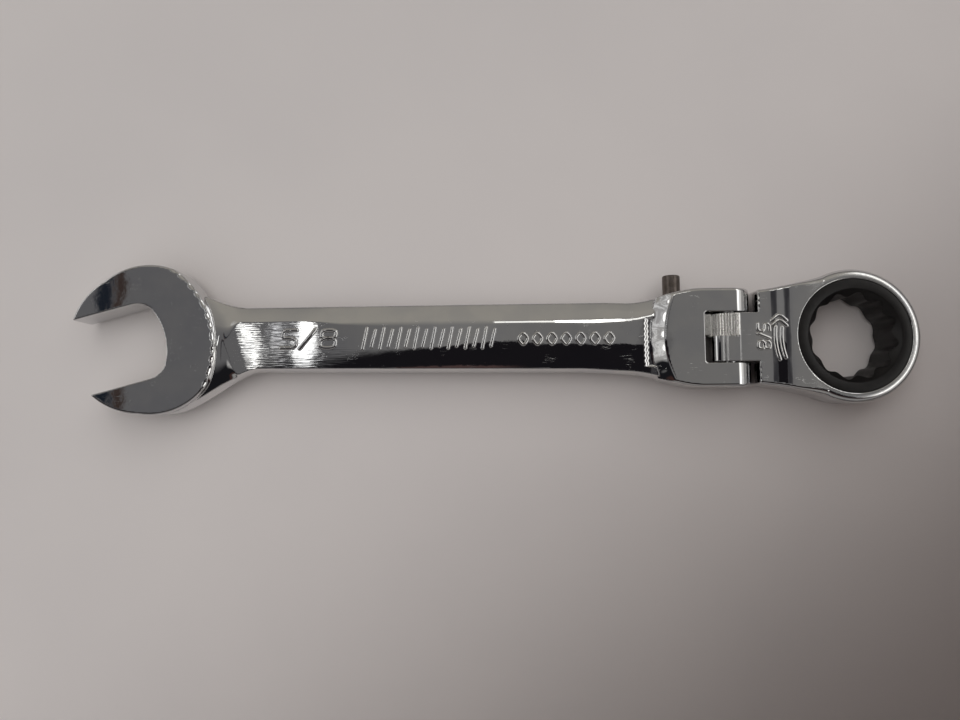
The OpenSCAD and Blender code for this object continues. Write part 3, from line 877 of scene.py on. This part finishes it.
# Strokes of the nut size in a unit box, and whether each is closed
FIVE = ([(0.95, 1), (0.05, 1), (0.0, 0.56), (0.75, 0.56), (1, 0.4), (1, 0.14), (0.78, 0), (0.0, 0)], False)
SLASH = ([(0.0, -0.02), (0.9, 1.02)], False)
EIGHT_TOP = ([(0.2, 0.53), (0.8, 0.53), (0.96, 0.66), (0.96, 0.88), (0.8, 1), (0.2, 1), (0.04, 0.88),
              (0.04, 0.66)], True)
EIGHT_LOW = ([(0.2, 0), (0.8, 0), (1, 0.14), (1, 0.38), (0.8, 0.53), (0.2, 0.53), (0, 0.38), (0, 0.14)], True)


def placed(strokes, x0, y0, wide, high, lean=0.12):
    """Strokes of a unit box, scaled, leant to the right and moved."""
    return [([(x0 + wide * a + lean * high * (b - 0.5), y0 + high * b) for a, b in path], closed)
            for path, closed in strokes]


def on_panel(x, y):
    return float(panel_top(x, y))


size_strokes = (placed([FIVE], -118.8, -1.55, 3.0, 3.7) + placed([SLASH], -114.9, -1.65, 3.1, 3.9)
                + placed([EIGHT_TOP, EIGHT_LOW], -110.8, -1.55, 3.2, 3.7))
mark("size_mark_handle", size_strokes, 0.46, 0.38, on_panel, "handle")

BARS_FROM, BAR_PITCH, BAR_LEAN, BAR_Y = -101.6, 1.78, 0.45, 0.3
bars = []
for i in range(16):
    x0 = BARS_FROM + i * BAR_PITCH
    rise = 1.75 if i % 2 else 2.15
    bars.append(([(x0 - BAR_LEAN, BAR_Y - rise), (x0 + BAR_LEAN, BAR_Y + rise)], False))
mark("slant_bars_handle", bars, 0.40, 0.38, on_panel, "handle")

LOZENGES_FROM, LOZENGE_PITCH, LOZENGE_WIDE, LOZENGE_HIGH = -68.6, 3.0, 1.15, 1.45
lozenges = []
for i in range(7):
    x0 = LOZENGES_FROM + i * LOZENGE_PITCH
    corners = [(x0 - LOZENGE_WIDE, 0.0), (x0, LOZENGE_HIGH), (x0 + LOZENGE_WIDE, 0.0), (x0, -LOZENGE_HIGH)]
    lozenges.append((corners, True))
mark("lozenge_row_handle", lozenges, 0.36, 0.36, on_panel, "handle")


def on_neck(x, y):
    return float(neck_top(x))


def turned(strokes, x0, y0):
    """Strokes drawn along X, turned to read along -Y and placed on the neck."""
    return [([(x0 + b, y0 - a) for a, b in path], closed) for path, closed in strokes]


head_size = (placed([FIVE], 0, 0, 1.5, 2.45, 0) + placed([SLASH], 2.0, 0, 1.1, 2.45, 0)
             + placed([EIGHT_TOP, EIGHT_LOW], 3.6, 0, 1.55, 2.45, 0))
mark("size_mark_head", turned(head_size, -20.0, 2.6), 0.39, 0.32, on_neck, "ratchet_head")

# Two arcs round the ring and two chevrons over them
arrow = []
for r in (16.55, 15.35):
    turns = [math.radians(a) for a in range(-17, 8, 3)]
    arrow.append(([(0.1 - r * math.cos(a), r * math.sin(a)) for a in turns], False))
for y0 in (2.15, 3.2):
    arrow.append(([(-17.1, y0), (-15.65, y0 + 1.4), (-14.2, y0)], False))
mark("turn_arrow_head", arrow, 0.42, 0.30, on_neck, "ratchet_head")


# ---------------------------------------------------------------- floor, light and camera

def stage_card(name, corners, z, material):
    """A level four-sided card of the stage."""
    mesh = bpy.data.meshes.new(name)
    mesh.from_pydata([(x, y, z) for x, y in corners], [], [[0, 1, 2, 3]])
    card = add_object(name, mesh)
    mesh.materials.append(material)
    return card


m = Nodes("floor_paint")
tone = m.map(m.noise(60.0, 3.0), 0.3, 0.7)
m.link(m.mix(tone, (0.758, 0.712, 0.698), (0.788, 0.740, 0.722)), m.shader.inputs["Base Color"])
m.shader.inputs["Roughness"].default_value = 0.75
m.shader.inputs["Specular IOR Level"].default_value = 0.2
stage_card("floor", ((-2.0, -2.0), (2.0, -2.0), (2.0, 2.0), (-2.0, 2.0)), cad_low.z, m.material)

middle = (cad_low + cad_high) / 2
CAMERA_FROM_MIDDLE = Vector((-4.64, -16.27, 154.24)) * MM
CAMERA_TURN = (0.075748, -0.00645, -0.008447)
camera_at = middle + CAMERA_FROM_MIDDLE


def glow(name, colour, strength=1.0):
    """A material that gives an even light of its own."""
    made = bpy.data.materials.new(name)
    made.use_nodes = True
    tree = made.node_tree
    tree.nodes.clear()
    emit = tree.nodes.new("ShaderNodeEmission")
    emit.inputs["Color"].default_value = (*colour, 1)
    emit.inputs["Strength"].default_value = strength
    out = tree.nodes.new("ShaderNodeOutputMaterial")
    tree.links.new(emit.outputs[0], out.inputs[0])
    return made


def reflector(name, x, y, colour, strength=1.0, lift=0.0):
    """A card at about the camera's height that only mirrors see. X and Y are spans from the camera."""
    places = ((x[0], y[0]), (x[1], y[0]), (x[1], y[1]), (x[0], y[1]))
    corners = [(camera_at.x + a * MM, camera_at.y + b * MM) for a, b in places]
    card = stage_card(name, corners, camera_at.z + lift * MM, glow(name + "_tone", colour, strength))
    card.visible_camera = card.visible_diffuse = card.visible_shadow = card.visible_transmission = False
    return card


def fade(card, share, tone=None):
    """Shows a reflector only as far as share(nodes, x, y) says, at a place measured from the camera."""
    m = Nodes(card.name + "_fade")
    x, y = m.axes()[:2]
    x, y = m.math("SUBTRACT", x, camera_at.x / MM), m.math("SUBTRACT", y, camera_at.y / MM)
    emit, clear, both = (m.new("ShaderNode" + kind) for kind in ("Emission", "BsdfTransparent", "MixShader"))
    plain = card.data.materials[0].node_tree.nodes["Emission"].inputs["Color"].default_value
    m.link(tone(m, x, y, tuple(plain)[:3]) if tone else plain, emit.inputs["Color"])
    m.link(share(m, x, y), both.inputs["Fac"])
    m.tree.links.new(clear.outputs[0], both.inputs[1])
    m.tree.links.new(emit.outputs[0], both.inputs[2])
    m.tree.links.new(both.outputs[0], m.tree.nodes["Material Output"].inputs["Surface"])
    card.data.materials[0] = m.material


def black_share(m, x, y):
    """The black flag's +Y edge, soft towards -X and crisp towards +X."""
    edge = 21.5
    for start, end, rise in ((-79, -19, 5.8), (-19, 10, 3.9), (20, 27, -2.2), (62, 72, -1.4)):
        edge = m.math("ADD", m.map(x, start, end, 0.0, rise, False), edge)
    waver = m.math("MULTIPLY", m.math("SUBTRACT", m.noise((14.0, 30.0, 30.0), 1.0), 0.5), 1.5)
    edge = m.math("ADD", edge, waver)
    soft = m.map(x, -60, -16, 3.8, 0.2, False)
    return m.map(m.math("SUBTRACT", y, edge), m.math("MULTIPLY", soft, -1.0), soft, 1.0, 0.0)


def black_tone(m, x, y, plain):
    """Black, with a thin brown streak along part of the -Y side."""
    low = m.math("MULTIPLY", m.map(y, 12.2, 12.8), m.map(y, 15.2, 14.5))
    along = m.math("MULTIPLY", m.map(x, -44, -30), m.map(x, 24, 4))
    return m.mix(m.math("MULTIPLY", low, along), plain, (0.08, 0.05, 0.047))


def side_share(m, x, y):
    """A soft dark bar with wavy edges."""
    middle_x, half, waver = 75.0, 7.5, 7.0
    wave = m.math("MULTIPLY", m.math("SUBTRACT", m.noise(9.0, 2.0), 0.5), waver)
    off = m.math("ADD", m.math("SUBTRACT", x, middle_x), wave)
    return m.map(m.math("ABSOLUTE", off), half, 0.0)


GLINT = (1.0, 0.985, 0.94)
fade(reflector("flag_black", (-90, 73), (9, 36), (0.0105, 0.0095, 0.0115)), black_share, black_tone)
reflector("flag_brown", (-66, 30), (4, 13.5), (0.05, 0.024, 0.02), 1.0, 0.5)
fade(reflector("flag_side", (66, 84), (8, 60), (0.045, 0.044, 0.048), 1.0, 1.0), side_share)
reflector("glint", (8, 88), (78, 96), GLINT, 1.5, 2.0)
reflector("glint_core", (36, 62), (76, 98), GLINT, 3.2, 1.5)

world = bpy.data.worlds.new("studio")
bpy.context.scene.world = world
world.use_nodes = True


class Sky(Nodes):
    """Nodes of the world, with the tangents of a direction's tilt from straight up towards +X and +Y."""

    def __init__(self, tree):
        self.tree = tree
        self.place = self.new("ShaderNodeTexCoord").outputs["Generated"]
        node = self.new("ShaderNodeSeparateXYZ")
        self.link(self.place, node.inputs[0])
        self.up = node.outputs[2]
        up = self.math("MAXIMUM", self.up, 0.02)
        self.tx = self.math("DIVIDE", node.outputs[0], up)
        self.ty = self.math("DIVIDE", node.outputs[1], up)

    def band(self, value, low, high, soft):
        """1 between low and high, and 0 outside them."""
        rise = self.map(value, low - soft, low + soft)
        fall = self.map(value, high + soft, high - soft)
        return self.math("MULTIPLY", rise, fall)

    def wedge(self, ahead, behind):
        """How far a direction tilts from the X axis, with a scale for +Y and one for -Y."""
        up, down = (self.math("MULTIPLY", self.ty, scale) for scale in (ahead, behind))
        return self.math("MAXIMUM", up, down)


ROOM, WALL, STRIP = (0.34, 0.33, 0.32), (2.3, 2.28, 2.2), (2.6, 2.6, 2.55)


def room_tint(sky):
    """The room's tone in a direction: a grey ceiling, dark towards -Y, and pale walls on +X and -X."""
    tint = sky.mix(sky.map(sky.tx, -0.5, 0.5), (0.145, 0.143, 0.147), (0.21, 0.205, 0.2))
    tint = sky.mix(sky.band(sky.tx, -0.09, 0.03, 0.09), tint, (0.24, 0.235, 0.23))
    tint = sky.mix(sky.map(sky.ty, 0.2, 0.7), tint, (0.37, 0.35, 0.315))
    tint = sky.mix(sky.map(sky.ty, 1.2, 4.0), tint, (0.26, 0.25, 0.235))
    tint = sky.mix(sky.map(sky.ty, -0.10, -0.2), tint, (0.012, 0.012, 0.014))
    tint = sky.mix(sky.band(sky.ty, -0.85, -0.65, 0.08), tint, (0.06, 0.03, 0.025))
    tint = sky.mix(sky.map(sky.ty, -0.8, -1.3), tint, (0.30, 0.29, 0.28))
    # the +X wall, with a bright band
    beside = sky.map(sky.math("SUBTRACT", sky.tx, sky.wedge(0.6, -1.4)), 0.0, 0.12)
    right = sky.math("MULTIPLY", sky.map(sky.tx, 0.56, 0.66), beside)
    tint = sky.mix(right, tint, sky.mix(sky.map(sky.tx, 1.3, 2.2), (0.88, 0.865, 0.84), ROOM))
    tint = sky.mix(sky.math("MULTIPLY", right, sky.band(sky.tx, 0.72, 1.0, 0.04)), tint, WALL)
    # the -X wall, uneven, with a bright band
    beside = sky.map(sky.math("ADD", sky.tx, sky.wedge(0.9, -3.6)), 0.0, -0.5)
    left = sky.math("MULTIPLY", sky.map(sky.tx, -0.85, -1.0), beside)
    cloud = sky.map(sky.noise((300.0, 60.0, 60.0), 3.0, 0.6), 0.42, 0.62)
    uneven = sky.mix(cloud, (0.45, 0.44, 0.43), (0.85, 0.845, 0.83))
    tint = sky.mix(left, tint, sky.mix(sky.map(sky.tx, -1.8, -3.0), uneven, ROOM))
    return sky.mix(sky.math("MULTIPLY", left, sky.band(sky.tx, -1.8, -1.46, 0.04)), tint, WALL)


def strip_tint(sky, tint):
    """The room with what the two ends of the handle mirror: dark streaks, and two bright strips."""
    wobble = sky.math("MULTIPLY", sky.math("SUBTRACT", sky.noise(40.0, 3.0, 0.7), 0.5), 0.02)
    across = sky.math("ADD", sky.tx, wobble)
    near = sky.band(sky.ty, -0.1, 0.3, 0.03)
    for low, high, dark in ((-0.520, -0.500, (0.014, 0.018, 0.026)), (-0.497, -0.484, (0.05, 0.035, 0.03))):
        tint = sky.mix(sky.math("MULTIPLY", sky.band(across, low, high, 0.004), near), tint, dark)
    slanted = sky.math("ADD", sky.tx, sky.math("MULTIPLY", sky.ty, 0.31))
    ahead = sky.band(sky.ty, 0.0, 0.24, 0.03)
    for place, low, high in ((slanted, -0.284, -0.269), (sky.tx, -0.244, -0.222)):
        tint = sky.mix(sky.math("MULTIPLY", sky.band(place, low, high, 0.003), ahead), tint, STRIP)
    spot_x, spot_y = sky.band(sky.tx, -0.277, -0.262, 0.004), sky.band(sky.ty, 0.093, 0.122, 0.004)
    return sky.mix(sky.math("MULTIPLY", spot_x, spot_y), tint, (1.2, 1.2, 1.2))


sky = Sky(world.node_tree)
HORIZON = (0.04, 0.04, 0.042)
tint = sky.mix(sky.map(sky.up, 0.22, 0.08), strip_tint(sky, room_tint(sky)), HORIZON)
sky.link(tint, world.node_tree.nodes["Background"].inputs["Color"])
world.node_tree.nodes["Background"].inputs["Strength"].default_value = 1.0
world.cycles_visibility.diffuse = False


def soft_box(name, at, size, watts, colour=(1, 1, 1)):
    """A square area light that faces the middle of the object and isn't mirrored in it."""
    light = bpy.data.lights.new(name, "AREA")
    light.shape = "SQUARE"
    light.size = size
    light.energy = watts
    light.color = colour
    lamp = add_object(name, light)
    lamp.location = middle + Vector(at)
    lamp.rotation_euler = (middle - lamp.location).to_track_quat("-Z", "Y").to_euler()
    lamp.visible_glossy = False


soft_box("key", (0.12, 0.45, 0.90), 1.5, 7.0, (1.0, 0.985, 0.97))
soft_box("fill", (-0.30, -0.20, 0.50), 0.9, 1.68)

# A card that shades the floor's +X -Y corner
SHADE_EDGE, SHADE_RISE, SHADE_HIGH, SHADE_FAR, SHADE_HALF = 69.6 * MM, 1.35, 84.0 * MM, 1.5, 0.6
corners = [(SHADE_EDGE + SHADE_RISE * y, y) for y in (SHADE_HALF, -SHADE_HALF)]
corners += [(SHADE_FAR, -SHADE_HALF), (SHADE_FAR, SHADE_HALF)]
corners = [(middle.x + x, middle.y + y) for x, y in corners]
shade_card = stage_card("shade_card", corners, cad_low.z + SHADE_HIGH, m.material)
shade_card.visible_camera = shade_card.visible_glossy = False

lens = bpy.data.cameras.new("camera")
lens.sensor_width, lens.lens = 36.0, 27.32
lens.clip_start, lens.clip_end = 0.005, 10.0
camera = add_object("camera", lens)
camera.location = camera_at
camera.rotation_euler = Euler(CAMERA_TURN, "XYZ")
bpy.context.scene.camera = camera

bpy.context.scene.view_settings.view_transform = "Standard"
bpy.context.scene.cycles.use_denoising = True
